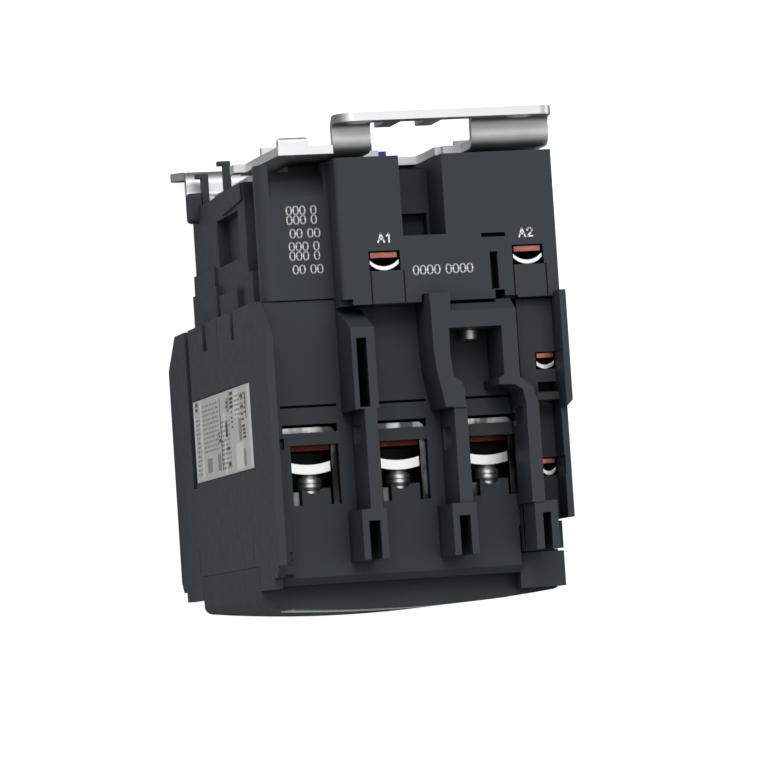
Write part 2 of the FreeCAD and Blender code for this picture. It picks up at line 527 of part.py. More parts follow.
def magnet():
    ring_x = (-19.2, 19.2)
    core = e_core(-15.0, -22.0, CORE_FACE)
    core = core.cut(join([shading_ring(x, 0.02) for x in ring_x]))
    save("fixed_core", core)
    save("shading_rings", [shading_ring(x) for x in ring_x])
    save("core_pads", [block(x, x + 14, -12.85, -14.95, -9, 9) for x in (-20, 6)])
    tube = block(-8.9, 8.9, -22.2, -37.6, -13.4, 13.4)
    flanges = [block(-15.2, 15.2, y, y - 1.3, -20, 20) for y in (-22.2, -36.3)]
    hole = block(-7.7, 7.7, -20, -39, -12.2, 12.2)
    save("coil_bobbin", join([tube] + flanges).cut(hole))
    coil = block(-14.6, 14.6, -23.7, -36.1, -19.2, 19.2)
    coil = rounded(coil, 3.0, lambda way, mid: abs(way.y) > 0.9)
    save("coil_winding", coil.cut(block(-9.1, 9.1, -23, -37, -13.6, 13.6)))
    moving = e_core(-58.0, -50.5, ARM_FACE)
    save("armature", moving.cut(rod("z", (0, ARM_PIN_Y), ARM_PIN_R + RUN_GAP, -13, 13)))
    save("armature_pin", rod("z", (0, ARM_PIN_Y), ARM_PIN_R, -15.0, 15.0))
    straps = []
    for c in CONTROL[:2]:
        straps.append(block(c["x"] - 3.3, c["x"] + 3.3, -33.5, -34.8, 30.0, 57.2))
    save("coil_terminals", straps + [mirror(straps[1])])
    pin_x, pin_z = 16.0, 50.7
    save("coil_pin", join([rod("y", (pin_x, pin_z), 2.35, -53.05, -55.2),
                           block(pin_x - 0.9, pin_x + 0.9, -53.2, -54.9, 47.0, pin_z)]))
    save("return_springs", [spring(2.5, 0.4, -38.1, -50.0, 6, x) for x in (-11.5, 11.5)])


def contacts():
    """Carrier with one window per pole, bridges, springs and the fixed bars."""
    fixed_face = BAR_FRONT - TIP
    tip_face = fixed_face - TIP_GAP
    strip_back = tip_face - TIP
    strip_front = strip_back - BRIDGE
    window_back, window_front = strip_back + 0.1, -98.2
    link_back, link_front = LINK_Y
    carrier = [block(-25.0, 25.0, link_back, link_front, -8.0, 8.0),
               block(-27.0, 27.0, -101.2, -104.2, -6.0, 6.0),
               block(-3.9, 3.9, -104.0, -113.6, -5.9, 5.9),
               block(24.0, 30.3, link_back, link_front, -4.6, 4.6),
               block(-5.0, 5.0, -59.0, link_front, -14.6, 14.6)]
    carrier += [block(-5.0, 5.0, -51.5, link_front, z0, z0 + 2.4) for z0 in (12.2, -14.6)]
    cuts = [rod("z", (0, ARM_PIN_Y), ARM_PIN_R + RUN_GAP, -16, 16)]
    for x in POLES:
        carrier.append(block(x - NECK_HALF, x + NECK_HALF, -61.0, -77.0, -8.0, 8.0))
        carrier.append(block(x - 6.6, x + 6.6, -76.6, -101.4, -8.0, 8.0))
        cuts.append(block(x - 5.2, x + 5.2, window_back, window_front, -9, 9))
    save("contact_carrier", join(carrier).cut(join(cuts)))
    springs = []
    for index, x in enumerate(POLES):
        strip = block(x - 4.5, x + 4.5, strip_back, strip_front, -17.5, 17.5)
        tips = [block(x - 4.0, x + 4.0, tip_face, strip_back, z0, z0 + 5.4) for z0 in (11.2, -16.6)]
        save("contact_bridge_%d" % (index + 1), join([strip] + tips))
        springs.append(spring(3.0, 0.5, strip_front - 0.6, window_front + 0.6, 5, x))
    save("contact_springs", springs)
    bars = []
    for x in POLES:
        bar = block(x - BAR_HALF, x + BAR_HALF, BAR_BACK, BAR_FRONT, 10.4, 45.8)
        tip = block(x - 4.2, x + 4.2, BAR_FRONT, fixed_face, 11.0, 17.0)
        bars.append(join([bar, tip]))
    save("line_bars", bars)
    save("load_bars", [mirror(bar) for bar in bars])


def aux_contacts():
    """Slider with two windows, one normally open and one normally closed bridge, four bars."""
    link_back, link_front = LINK_Y
    bar_near, bar_far = CONTROL_BAR
    open_bar = CONTROL[2]["back"] - bar_far
    closed_bar = CONTROL[3]["back"] - bar_near
    strip = 1.1
    tip = 1.2
    open_strip = open_bar - TIP_GAP - tip
    closed_strip = closed_bar + 0.1 + tip + strip
    slider = block(30.4, 34.4, link_back, -96.0, -4.4, 4.4)
    windows = [block(31.1, 33.7, open_strip + 0.3, open_strip - strip - OVERTRAVEL - 3, -5, 5),
               block(31.1, 33.7, closed_strip + 4, closed_strip - strip - OVERTRAVEL - 0.2, -5, 5)]
    save("aux_slider", slider.cut(join(windows)))
    bars = []
    for c in CONTROL[2:]:
        half = c["half"] - 0.4
        bars.append(block(c["x"] - half, c["x"] + half, c["back"] - bar_near, c["back"] - bar_far, 6.5,
                          c["face"] - 0.4))
    save("aux_contact_bars", ends(bars))
    for node, back, tip_face in (("aux_bridge_no", open_strip, open_strip + tip),
                                 ("aux_bridge_nc", closed_strip, closed_strip - strip - tip)):
        bridge = block(31.4, 33.4, back, back - strip, -11.5, 11.5)
        tips = [block(31.6, 33.2, tip_face, back - strip / 2, z, z + 3.0) for z in (8.0, -11.0)]
        save(node, join([bridge] + tips))


def power_terminals():
    cages = []
    saddles = []
    screws = []
    inner = WELL_HALF - CAGE_LEG - 0.1
    for x in POLES:
        shell = block(x - WELL_HALF + 0.1, x + WELL_HALF - 0.1, -74.2, -96.5, 38.6, 46.3)
        for radius, side in ((0.6, -1), (2.0, 1)):
            shell = rounded(shell, radius, lambda way, mid: abs(way.z) > 0.9 and mid.y > -75
                            and (mid.x - x) * side > 0)
        flange = block(x - inner - 0.3, x - 3.2, -89.8, -94.3, 44.7, 46.1)
        hollow = block(x - inner, x + inner, -76.2, -94.0, 38, 47)
        cage = shell.cut(join([hollow, rod("y", (x, SCREW_Z), SCREW_R + RUN_GAP, -90, -98)]))
        cages.append(join([cage, flange]))
        saddles.append(arc_strip(x - 4.9, x + 4.9, SADDLE_BACK, SADDLE_BACK - 0.7,
                                 SADDLE_BACK - SADDLE_FRONT, 38.8, 46.2))
        top = SADDLE_FRONT - 0.75
        tip = Part.makeCone(DOME_R - 0.9, DOME_R, 1.2, V(x, top, SCREW_Z), V(0, -1, 0))
        collar = rod("y", (x, SCREW_Z), DOME_R, top - 1.2, top - 2.0)
        groove = rod("y", (x, SCREW_Z), DOME_R - 0.35, top - 2.0, top - 2.3)
        below = rod("y", (x, SCREW_Z), DOME_R, top - 2.3, top - 3.0)
        taper = Part.makeCone(DOME_R, SCREW_R, 0.9, V(x, top - 3.0, SCREW_Z), V(0, -1, 0))
        shank = rod("y", (x, SCREW_Z), SCREW_R, top - 3.8, -99.6)
        head = rod("y", (x, SCREW_Z), SCREW_HEAD_R, -99.4, -103.0)
        slot = block(x - 4, x + 4, -101.6, -104, SCREW_Z - 0.5, SCREW_Z + 0.5)
        cross = block(x - 0.5, x + 0.5, -101.6, -104, SCREW_Z - 2.0, SCREW_Z + 2.0)
        screws.append(join([tip, collar, groove, below, taper, shank, head]).cut(join([slot, cross])))
    save("line_cages", cages)
    save("load_cages", [mirror(cage) for cage in cages])
    for index, (saddle, screw) in enumerate(zip(ends(saddles), ends(screws))):
        save("power_saddle_%d" % (index + 1), saddle)
        save("power_screw_%d" % (index + 1), screw)


def control_terminals():
    clamps = []
    screws = []
    for c in CONTROL:
        half = c["half"] - 0.3
        edge = c["back"] - CLAMP_GAP
        clamps.append(arc_strip(c["x"] - half, c["x"] + half, edge, edge - c["bow"], CLAMP_THICK,
                                c["deep"] + 0.3, c["face"] - 0.5))
        shank = rod("y", (c["sx"], c["sz"]), c["r"], edge - c["bow"] - CLAMP_THICK - 0.2, c["head_back"])
        head = rod("y", (c["sx"], c["sz"]), c["head_r"], c["head_back"], c["head_front"])
        slot = block(c["sx"] - 3, c["sx"] + 3, c["head_front"] + 0.9, c["head_front"] - 1,
                     c["sz"] - 0.35, c["sz"] + 0.35)
        screws.append(join([shank, head]).cut(slot))
    clamps += [mirror(clamp) for clamp in clamps[1:]]
    screws += [mirror(screw) for screw in screws[1:]]
    for index, (clamp, screw) in enumerate(zip(clamps, screws)):
        save("control_clamp_%d" % (index + 1), clamp)
        save("control_screw_%d" % (index + 1), screw)


def main():
    os.makedirs("parts", exist_ok=True)
    save("mounting_plate", mounting_plate())
    save("rail_latch", rail_latch())
    save("latch_spring", latch_spring())
    save("base_housing", base_housing())
    save("pole_housing", pole_housing())
    save("aux_housing", aux_housing())
    save("front_cover", front_cover())
    save("front_nameplate", front_nameplate())
    save("rating_label", rating_label())
    save("housing_screws", housing_screws())
    magnet()
    contacts()
    aux_contacts()
    power_terminals()
    control_terminals()


main()
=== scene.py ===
import math
import random

import bpy
from mathutils import Euler, Matrix, Vector


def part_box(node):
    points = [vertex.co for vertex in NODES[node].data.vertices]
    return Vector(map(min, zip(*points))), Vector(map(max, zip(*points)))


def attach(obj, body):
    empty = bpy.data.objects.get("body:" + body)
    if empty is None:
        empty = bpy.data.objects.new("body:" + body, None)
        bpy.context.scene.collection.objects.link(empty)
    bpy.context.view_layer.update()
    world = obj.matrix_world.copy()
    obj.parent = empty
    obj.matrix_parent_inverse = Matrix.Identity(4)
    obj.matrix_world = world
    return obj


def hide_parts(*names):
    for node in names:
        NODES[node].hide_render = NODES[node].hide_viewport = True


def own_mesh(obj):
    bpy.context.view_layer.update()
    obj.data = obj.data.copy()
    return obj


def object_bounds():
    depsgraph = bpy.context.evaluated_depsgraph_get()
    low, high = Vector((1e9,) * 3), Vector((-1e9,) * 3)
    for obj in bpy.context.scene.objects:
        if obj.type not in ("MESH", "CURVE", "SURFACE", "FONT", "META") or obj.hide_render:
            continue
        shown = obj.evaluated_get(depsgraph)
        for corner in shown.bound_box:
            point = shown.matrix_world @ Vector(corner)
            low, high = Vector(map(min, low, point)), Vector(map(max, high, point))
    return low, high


# Looks of a DIN rail contactor. Metres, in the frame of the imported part: X right seen from the front,
# Y back towards the panel, Z up. The front cover faces -Y.

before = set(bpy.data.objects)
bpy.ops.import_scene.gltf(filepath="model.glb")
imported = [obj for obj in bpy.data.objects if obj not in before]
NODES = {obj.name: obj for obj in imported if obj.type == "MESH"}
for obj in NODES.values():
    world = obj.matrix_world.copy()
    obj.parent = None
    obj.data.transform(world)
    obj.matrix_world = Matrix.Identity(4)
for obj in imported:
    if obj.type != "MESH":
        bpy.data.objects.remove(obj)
CAD_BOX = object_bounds()

MM = 0.001                   # the lengths in this block are in millimetres
END_Z = 58.0                 # raised end block's face
LEFT_FACE_Z = 48.6           # end face left of the raised block
PRINT = 0.03                 # thickness of printed marks
LABEL_FACE_X = -37.35        # outer face of the rating label
FLOOR_DROP = 0.5             # the pale floor lies this far under the lower end
Y_AXIS, Z_AXIS = 1, 2


# ---------------------------------------------------------------- materials

def srgb(r, g, b):
    """8-bit display colour as linear values."""
    def one(v):
        v = v / 255
        return v / 12.92 if v <= 0.04045 else ((v + 0.055) / 1.055) ** 2.4
    return (one(r), one(g), one(b), 1.0)


def scaled(color, factor):
    """A colour made darker or brighter, never past full brightness."""
    return tuple(min(1, c * factor) for c in color[:3]) + (1,)


class Tree:
    """Short hand for one material's node tree."""

    def __init__(self, name):
        self.mat = bpy.data.materials.new(name)
        self.mat.use_nodes = True
        self.tree = self.mat.node_tree
        self.shader = self.tree.nodes["Principled BSDF"]
        self.place = self.add("ShaderNodeTexCoord").outputs["Object"]

    def add(self, kind, **settings):
        node = self.tree.nodes.new(kind)
        for key, value in settings.items():
            setattr(node, key, value)
        return node

    def link(self, out, socket):
        self.tree.links.new(out, socket)

    def put(self, **values):
        names = {"rough": "Roughness", "metal": "Metallic", "ior": "IOR",
                 "specular": "Specular IOR Level", "coat": "Coat Weight", "coat_rough": "Coat Roughness"}
        for key, value in values.items():
            self.shader.inputs[names[key]].default_value = value

    def stretched(self, scale):
        """Object coordinates in metres, scaled per axis."""
        mapping = self.add("ShaderNodeMapping")
        mapping.inputs["Scale"].default_value = scale
        self.link(self.place, mapping.inputs["Vector"])
        return mapping.outputs["Vector"]

    def noise(self, scale, detail=3.0, rough=0.5, vector=None):
        node = self.add("ShaderNodeTexNoise")
        node.inputs["Scale"].default_value = scale
        node.inputs["Detail"].default_value = detail
        node.inputs["Roughness"].default_value = rough
        self.link(vector or self.place, node.inputs["Vector"])
        return node.outputs["Fac"]

    def ramp(self, value, stops):
        """Colour ramp; stops are (position, grey or colour)."""
        node = self.add("ShaderNodeValToRGB")
        elements = node.color_ramp.elements
        while len(elements) < len(stops):
            elements.new(0.5)
        for element, (position, color) in zip(elements, stops):
            element.position = position
            element.color = color if isinstance(color, tuple) else (color, color, color, 1)
        self.link(value, node.inputs["Fac"])
        return node.outputs["Color"]

    def math(self, operation, a, b, clamp=False):
        node = self.add("ShaderNodeMath", operation=operation, use_clamp=clamp)
        for socket, value in zip(node.inputs, (a, b)):
            if isinstance(value, (int, float)):
                socket.default_value = value
            else:
                self.link(value, socket)
        return node.outputs[0]

    def mix(self, factor, a, b, blend="MIX"):
        node = self.add("ShaderNodeMix", data_type="RGBA", blend_type=blend)
        for socket, value in ((node.inputs["Factor"], factor), (node.inputs[6], a), (node.inputs[7], b)):
            if isinstance(value, (int, float, tuple)):
                socket.default_value = value
            else:
                self.link(value, socket)
        return node.outputs[2]

    def edges(self, radius):
        """1 along outer and inner edges within radius, 0 on the flats."""
        bevel = self.add("ShaderNodeBevel", samples=4)
        bevel.inputs["Radius"].default_value = radius
        dot = self.add("ShaderNodeVectorMath", operation="DOT_PRODUCT")
        self.link(bevel.outputs["Normal"], dot.inputs[0])
        self.link(self.add("ShaderNodeNewGeometry").outputs["True Normal"], dot.inputs[1])
        return self.math("SUBTRACT", 1.0, dot.outputs["Value"], clamp=True)

    def cavity(self, reach, dark):
        """Painted shade: 1 on open faces, falling to dark deep inside gaps narrower than reach."""
        node = self.add("ShaderNodeAmbientOcclusion", samples=6, only_local=False)
        node.inputs["Distance"].default_value = reach
        return self.ramp(node.outputs["AO"], [(0.12, dark), (0.75, 1.0)])

    def relief(self, height, depth, radius=None):
        """Bump of that depth; with a radius, edges look rounded by it."""
        bump = self.add("ShaderNodeBump")
        bump.inputs["Distance"].default_value = depth
        bump.inputs["Strength"].default_value = 1.0
        self.link(height, bump.inputs["Height"])
        if radius:
            bevel = self.add("ShaderNodeBevel", samples=4)
            bevel.inputs["Radius"].default_value = radius
            self.link(bevel.outputs["Normal"], bump.inputs["Normal"])
        self.link(bump.outputs["Normal"], self.shader.inputs["Normal"])


GRAIN_DEPTH = 0.001 * MM         # relief of the moulded grain
MOULD_ROUNDING = 0.25 * MM       # edges of mouldings look rounded by this
MOULD_VARY = 0.05                # share by which a moulding's colour wanders
MOULD_GAP_SHADE = 0.16           # painted shade deep inside the gaps of a moulding
SHEET_ROUNDING = 0.2 * MM


def moulded(name, color, rough, edge=0.35):
    """Moulded plastic: fine eroded grain, faint flow marks, lighter edges that are a painted highlight
    mixed with scuffing from handling, and painted shade inside its gaps.
    """
    m = Tree(name)
    m.put(ior=1.46, specular=0.2)
    cloud = m.noise(scale=38, detail=4, rough=0.55)
    flow = m.noise(scale=1.0, detail=3, rough=0.5, vector=m.stretched((60, 14, 14)))
    tone = m.math("ADD", m.math("MULTIPLY", cloud, 0.6), m.math("MULTIPLY", flow, 0.4))
    base = m.ramp(tone, [(0.3, scaled(color, 1 - MOULD_VARY)), (0.7, scaled(color, 1 + MOULD_VARY))])
    # Lighter edges: a painted highlight along them, mixed with scuffing from handling.
    worn = tuple(min(1, c * (1 + edge) + 0.01 * edge) for c in color[:3]) + (1,)
    edge_patches = m.math("MULTIPLY", m.noise(scale=260, detail=3), 2.2)
    edge_highlight_and_wear = m.math("MULTIPLY", m.edges(0.6 * MM), edge_patches, clamp=True)
    base = m.mix(edge_highlight_and_wear, base, worn)
    # Painted shade: darker deep inside gaps and recesses.
    base = m.mix(1.0, base, m.cavity(8 * MM, MOULD_GAP_SHADE), "MULTIPLY")
    m.link(base, m.shader.inputs["Base Color"])
    sheen = m.math("MULTIPLY", m.noise(scale=420, detail=3), 0.16)
    m.link(m.math("ADD", sheen, rough - 0.08), m.shader.inputs["Roughness"])
    grain = m.noise(scale=5200, detail=2, rough=0.6)
    m.relief(grain, GRAIN_DEPTH, MOULD_ROUNDING)
    return m.mat


# Between these heights and right of this X, the plate's upward faces are the upper foot's wall and
# its bends.
FOOT_WALL_LOW_Z = 55.0
FOOT_WALL_HIGH_Z = 62.0
FOOT_WALL_LEFT_X = -16.5
FACING_UP = [(0.72, 0.0), (0.98, 1.0)]      # Z of the face's normal, and the mask there


def upward_highlight_mask(m):
    """Mask of a painted highlight: 1 on the mounting plate's faces that point up, 0 on the others and on
    the upper foot's wall.

    Most of them are cut edges; the lower foot's wall and the tops of the rail hooks count too."""
    place = m.add("ShaderNodeSeparateXYZ")
    m.link(m.place, place.inputs[0])
    facing = m.add("ShaderNodeSeparateXYZ")
    m.link(m.add("ShaderNodeNewGeometry").outputs["True Normal"], facing.inputs[0])
    above = m.math("GREATER_THAN", place.outputs["Z"], FOOT_WALL_HIGH_Z * MM)
    below = m.math("LESS_THAN", place.outputs["Z"], FOOT_WALL_LOW_Z * MM)
    beside = m.math("LESS_THAN", place.outputs["X"], FOOT_WALL_LEFT_X * MM)
    off_wall = m.math("MAXIMUM", m.math("MAXIMUM", above, below), beside)
    return m.math("MULTIPLY", off_wall, m.ramp(facing.outputs["Z"], FACING_UP))


def along_depth(m, stops):
    """Painted light and shade that changes along Y; stops are (millimetres, grey)."""
    first, last = stops[0][0], stops[-1][0]
    place = m.add("ShaderNodeSeparateXYZ")
    m.link(m.place, place.inputs[0])
    share = m.math("DIVIDE", m.math("SUBTRACT", place.outputs["Y"], first * MM), (last - first) * MM)
    return m.ramp(share, [((y - first) / (last - first), grey) for y, grey in stops])


def sheet_metal(name, color, rough, along, depth=0.002, cloud=0.12, upward_highlight=None, deep=1.0, reflection_bands=None,
                shade=None):
    """Plated sheet: rolling lines along one axis, clouded plating, slightly rounded cut edges, painted
    light and shade.

    along is the scale of the rolling lines and depth their relief in millimetres, cloud the darkening
    of the plating's patches, upward_highlight the colour of a painted highlight on the sheet's up-facing
    faces, mostly its cut upper edges, deep the painted shade inside gaps, reflection_bands the scale of
    painted dark and bright reflection stripes, shade the painted light and shade along Y."""
    m = Tree(name)
    m.put(metal=1.0)
    lines = m.noise(scale=1.0, detail=3, rough=0.6, vector=m.stretched(along))
    patches = m.noise(scale=150, detail=4, rough=0.6)
    base = m.ramp(patches, [(0.32, scaled(color, 1 - cloud)), (0.68, scaled(color, 1 + cloud * 0.6))])
    # Painted reflection: dark and bright stripes across the sheet, as a bent shiny face would mirror its
    # surroundings.
    if reflection_bands:
        wave = m.noise(scale=1.0, detail=2, rough=0.5, vector=m.stretched(reflection_bands))
        base = m.mix(1.0, base, m.ramp(wave, [(0.42, 0.14), (0.60, 1.0)]), "MULTIPLY")
    # Painted light and shade along Y.
    if shade:
        base = m.mix(1.0, base, along_depth(m, shade), "MULTIPLY")
    # Painted highlight: up-facing faces, mostly cut edges, keep a bright colour that the painted shade
    # doesn't darken.
    if upward_highlight:
        base = m.mix(upward_highlight_mask(m), base, upward_highlight)
    # Painted shade inside gaps.
    if deep < 1:
        base = m.mix(1.0, base, m.cavity(6 * MM, deep), "MULTIPLY")
    m.link(base, m.shader.inputs["Base Color"])
    spread = m.math("MULTIPLY", m.math("ADD", lines, patches), 0.14)
    m.link(m.math("ADD", spread, rough - 0.14), m.shader.inputs["Roughness"])
    m.relief(lines, depth * MM, SHEET_ROUNDING)
    return m.mat


def copper(name, color, bright):
    """Bare copper, dulled in patches and bright in a few, with painted shade inside its gaps."""
    m = Tree(name)
    m.put(metal=1.0)
    patches = m.noise(scale=240, detail=5, rough=0.6)
    base = m.ramp(patches, [(0.35, scaled(color, 0.6)), (0.56, color), (0.68, bright)])
    # Painted shade inside gaps narrower than 4 mm.
    m.link(m.mix(1.0, base, m.cavity(4 * MM, 0.12), "MULTIPLY"), m.shader.inputs["Base Color"])
    m.link(m.math("ADD", m.math("MULTIPLY", patches, 0.25), 0.22), m.shader.inputs["Roughness"])
    lines = m.noise(scale=1.0, detail=3, rough=0.6, vector=m.stretched((3000, 3000, 180)))
    m.relief(lines, 0.0015 * MM, 0.15 * MM)
    return m.mat


def laminated(name, color):
    """Stack of thin steel sheets across Z, varnished."""
    m = Tree(name)
    m.put(metal=0.8)
    wave = m.add("ShaderNodeTexWave", bands_direction="Z")
    wave.inputs["Scale"].default_value = 320
    wave.inputs["Distortion"].default_value = 0.4
    m.link(m.place, wave.inputs["Vector"])
    sheets = m.ramp(wave.outputs["Fac"], [(0.1, scaled(color, 0.45)), (0.45, color)])
    m.link(sheets, m.shader.inputs["Base Color"])
    m.link(m.math("ADD", m.math("MULTIPLY", m.noise(300), 0.2), 0.35), m.shader.inputs["Roughness"])
    m.relief(wave.outputs["Fac"], 0.02 * MM, 0.2 * MM)
    return m.mat


def wound(name, color):
    """Enamelled wire turns under clear film."""
    m = Tree(name)
    m.put(coat=0.6, coat_rough=0.15, metal=0.5)
    wave = m.add("ShaderNodeTexWave", bands_direction="Y")
    wave.inputs["Scale"].default_value = 700
    m.link(m.place, wave.inputs["Vector"])
    turns = m.ramp(wave.outputs["Fac"], [(0.05, scaled(color, 0.35)), (0.6, color)])
    m.link(turns, m.shader.inputs["Base Color"])
    m.link(m.math("ADD", m.math("MULTIPLY", m.noise(200), 0.2), 0.25), m.shader.inputs["Roughness"])
    m.relief(wave.outputs["Fac"], 0.08 * MM)
    return m.mat


def foil(name, color):
    """Printed foil: faint mottling and a fine surface grain."""
    m = Tree(name)
    m.put(metal=0.35)
    mottle = m.noise(scale=320, detail=4, rough=0.6)
    m.link(m.ramp(mottle, [(0.35, scaled(color, 0.9)), (0.65, color)]), m.shader.inputs["Base Color"])
    m.link(m.math("ADD", m.math("MULTIPLY", mottle, 0.12), 0.36), m.shader.inputs["Roughness"])
    m.relief(m.noise(scale=2600, detail=2), 0.002 * MM)
    return m.mat


def banded(name, color, band, height):
    """Printed plate with a coloured band above a given height."""
    m = Tree(name)
    m.put(rough=0.35, specular=0.45)
    split = m.add("ShaderNodeSeparateXYZ")
    m.link(m.place, split.inputs[0])
    above = m.math("GREATER_THAN", split.outputs["Z"], height)
    plain = m.ramp(m.noise(scale=300, detail=3), [(0.35, scaled(color, 0.94)), (0.65, color)])
    m.link(m.mix(above, plain, band), m.shader.inputs["Base Color"])
    m.relief(m.noise(scale=2600, detail=2), 0.002 * MM)
    return m.mat


def ink(name, color):
    """Pad-printed ink, a little uneven."""
    m = Tree(name)
    m.put(specular=0.4)
    worn = m.noise(scale=900, detail=4, rough=0.65)
    m.link(m.ramp(worn, [(0.3, scaled(color, 0.82)), (0.5, color)]), m.shader.inputs["Base Color"])
    m.link(m.math("ADD", m.math("MULTIPLY", worn, 0.1), 0.4), m.shader.inputs["Roughness"])
    return m.mat


# Painted light and shade of the mounting plate along Y: bright on the main level, darker up the foot walls
# and on the feet.
ZINC_SHADE = [(-7.6, 1.0), (-6.6, 0.9), (-4.5, 0.58), (-1.5, 0.46), (0.0, 0.46)]
# Painted light and shade of the clamp cages along Y: bright rear web, darkened legs, brighter again at the
# front.
CAGE_SHADE = [(-96, 0.6), (-91, 0.34), (-87, 0.2), (-81, 0.2), (-78, 0.45), (-75.5, 1.0)]

HOUSING = moulded("housing_plastic", srgb(49, 55, 60), rough=0.56)
COVER = moulded("cover_plastic", srgb(53, 58, 62), rough=0.66)
INNER = moulded("inner_plastic", srgb(38, 40, 43), rough=0.55)
BOBBIN = moulded("bobbin_plastic", srgb(196, 186, 164), rough=0.5)
BLUE = moulded("latch_plastic", srgb(62, 74, 168), rough=0.4)
RUBBER = moulded("rubber", srgb(30, 30, 30), rough=0.8, edge=0.1)
# Mounting plate: painted light and shade along Y, and a painted highlight on its up-facing faces.
ZINC = sheet_metal("zinc_plate", (0.60, 0.61, 0.61, 1), 0.44, (14, 900, 900), upward_highlight=(0.58, 0.59, 0.60, 1),
                   shade=ZINC_SHADE)
CLAMP = sheet_metal("clamp_plate", (0.64, 0.64, 0.64, 1), 0.34, (900, 900, 60))
# Clamp cages: painted reflection stripes, painted light and shade along Y and painted shade inside gaps.
CAGE = sheet_metal("cage_plate", (0.60, 0.60, 0.61, 1), 0.30, (900, 60, 900), depth=0.001, cloud=0.05,
                   deep=0.2, reflection_bands=(240, 90, 60), shade=CAGE_SHADE)
SCREW = sheet_metal("screw_plate", (0.66, 0.66, 0.66, 1), 0.42, (60, 1400, 60), depth=0.003)
WIRE = sheet_metal("spring_wire", (0.60, 0.60, 0.61, 1), 0.25, (900, 900, 900), depth=0.001)
COPPER = copper("bare_copper", (0.36, 0.13, 0.10, 1), (0.70, 0.33, 0.26, 1))
# Copper of the line and load bars, painted far darker than the bare copper: painted shade of the bars down
# in the terminal wells.
SHADED_BAR_COPPER = copper("shaded_bar_copper", (0.060, 0.013, 0.009, 1), (0.20, 0.060, 0.022, 1))
CORE = laminated("core_sheets", (0.30, 0.30, 0.31, 1))
COIL = wound("coil_wire", (0.42, 0.10, 0.05, 1))
FOIL = foil("label_foil", srgb(208, 210, 207))
WHITE = banded("white_plate", srgb(232, 234, 232), band=srgb(28, 122, 72), height=27.5 * MM)
PALE_INK = ink("pale_ink", srgb(226, 228, 228))
RULE_INK = ink("rule_ink", srgb(222, 224, 221))
DARK_INK = ink("dark_ink", srgb(44, 46, 46))
GREY_INK = ink("grey_ink", srgb(136, 138, 136))

FINISH = {"mounting_plate": ZINC, "rail_latch": BLUE, "latch_spring": WIRE, "base_housing": HOUSING,
          "pole_housing": HOUSING, "aux_housing": HOUSING, "front_cover": COVER, "front_nameplate": WHITE,
          "rating_label": FOIL, "housing_screws": SCREW, "fixed_core": CORE, "armature": CORE,
          "shading_rings": COPPER, "core_pads": RUBBER, "coil_bobbin": BOBBIN, "coil_winding": COIL,
          "coil_terminals": COPPER, "coil_pin": SCREW, "armature_pin": WIRE, "return_springs": WIRE,
          "contact_carrier": INNER, "aux_slider": INNER, "contact_springs": WIRE, "line_bars": SHADED_BAR_COPPER,
          "load_bars": SHADED_BAR_COPPER, "aux_contact_bars": COPPER, "aux_bridge_no": COPPER,
          "aux_bridge_nc": COPPER, "line_cages": CAGE, "load_cages": CAGE}
FINISH_BY_START = {"contact_bridge": COPPER, "power_saddle": CLAMP, "control_clamp": CLAMP,
                   "power_screw": SCREW, "control_screw": SCREW}


def finish_of(node):
    if node in FINISH:
        return FINISH[node]
    return next(mat for start, mat in FINISH_BY_START.items() if node.startswith(start))


def dress(node):
    """The finish of one CAD node."""
    obj = NODES[node]
    obj.data.materials.clear()
    obj.data.materials.append(finish_of(node))


for node in NODES:
    dress(node)


# ---------------------------------------------------------------- springs

WIRE_SIDES = 10
TURN_STEPS = 28
CLOSED_TURNS = 0.9           # tight turns at each end of a spring
CLOSED_PITCH = 2.05          # their pitch, in wire radii


def add_coil(verts, faces, start, way, length, radius, wire, turns):
    """One compression spring as a tube round its helix: closed end turns and open ones between."""
    across = way.orthogonal().normalized()
    third = way.cross(across)
    tight = CLOSED_PITCH * wire
    pitch = (length - 2 * CLOSED_TURNS * tight) / (turns - 2 * CLOSED_TURNS)
    first = len(verts)
    steps = int(turns * TURN_STEPS)
    for i in range(steps + 1):
        t = i / TURN_STEPS
        rise = (min(t, CLOSED_TURNS) + max(0.0, t - turns + CLOSED_TURNS)) * tight
        rise += min(max(t - CLOSED_TURNS, 0.0), turns - 2 * CLOSED_TURNS) * pitch
        out = across * math.cos(math.tau * t) + third * math.sin(math.tau * t)
        middle = start + way * rise + out * radius
        for k in range(WIRE_SIDES):
            angle = math.tau * k / WIRE_SIDES
            verts.append(middle + (out * math.cos(angle) + way * math.sin(angle)) * wire)
    for i in range(steps):
        for k in range(WIRE_SIDES):
            a = first + i * WIRE_SIDES + k
            b = first + i * WIRE_SIDES + (k + 1) % WIRE_SIDES
            faces.append([a, b, b + WIRE_SIDES, a + WIRE_SIDES])
    faces.append([first + k for k in range(WIRE_SIDES)])
    faces.append([first + steps * WIRE_SIDES + k for k in reversed(range(WIRE_SIDES))])


